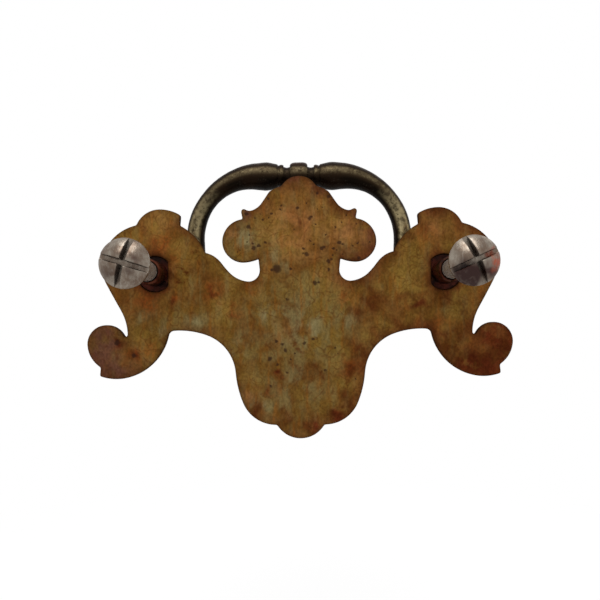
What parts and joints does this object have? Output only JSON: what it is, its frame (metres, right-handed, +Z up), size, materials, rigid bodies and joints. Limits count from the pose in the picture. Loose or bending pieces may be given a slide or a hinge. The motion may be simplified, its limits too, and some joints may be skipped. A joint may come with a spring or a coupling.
{
  "type": "bail pull",
  "caption": "Scrolled brass drawer plate with a trefoil crest and bell foot, ball-headed posts, a swinging bail handle with a turned knuckle, and cross-slotted screws from behind.",
  "frame": {"origin": "on the plate's back face, half way between the axes of the two posts", "axes": "+X from the left post to the right post as seen from the drawer's front, +Y out of the plate's back into the drawer, +Z up towards the crest"},
  "size_m": [0.0934, 0.0382, 0.062],
  "materials": {
    "plate_brass": "aged mottled brown patina",
    "bail_brass": "dark antique patina, worn on the high places",
    "post_brass": "dark red-brown patina",
    "screw_steel": "dull grey with brown dirt"
  },
  "bodies": {
    "plate": {"back_plate": "plate_brass", "left_post": "post_brass", "right_post": "post_brass", "left_screw": "screw_steel", "right_screw": "screw_steel"},
    "bail": {"bail": "bail_brass"}
  },
  "joints": [
    {"name": "bail_swing", "type": "hinge", "parent": "plate", "child": "bail", "pos_m": [0, -0.01, 0], "axis": [1, 0, 0], "range_deg": [0, 202.8]}
  ]
}
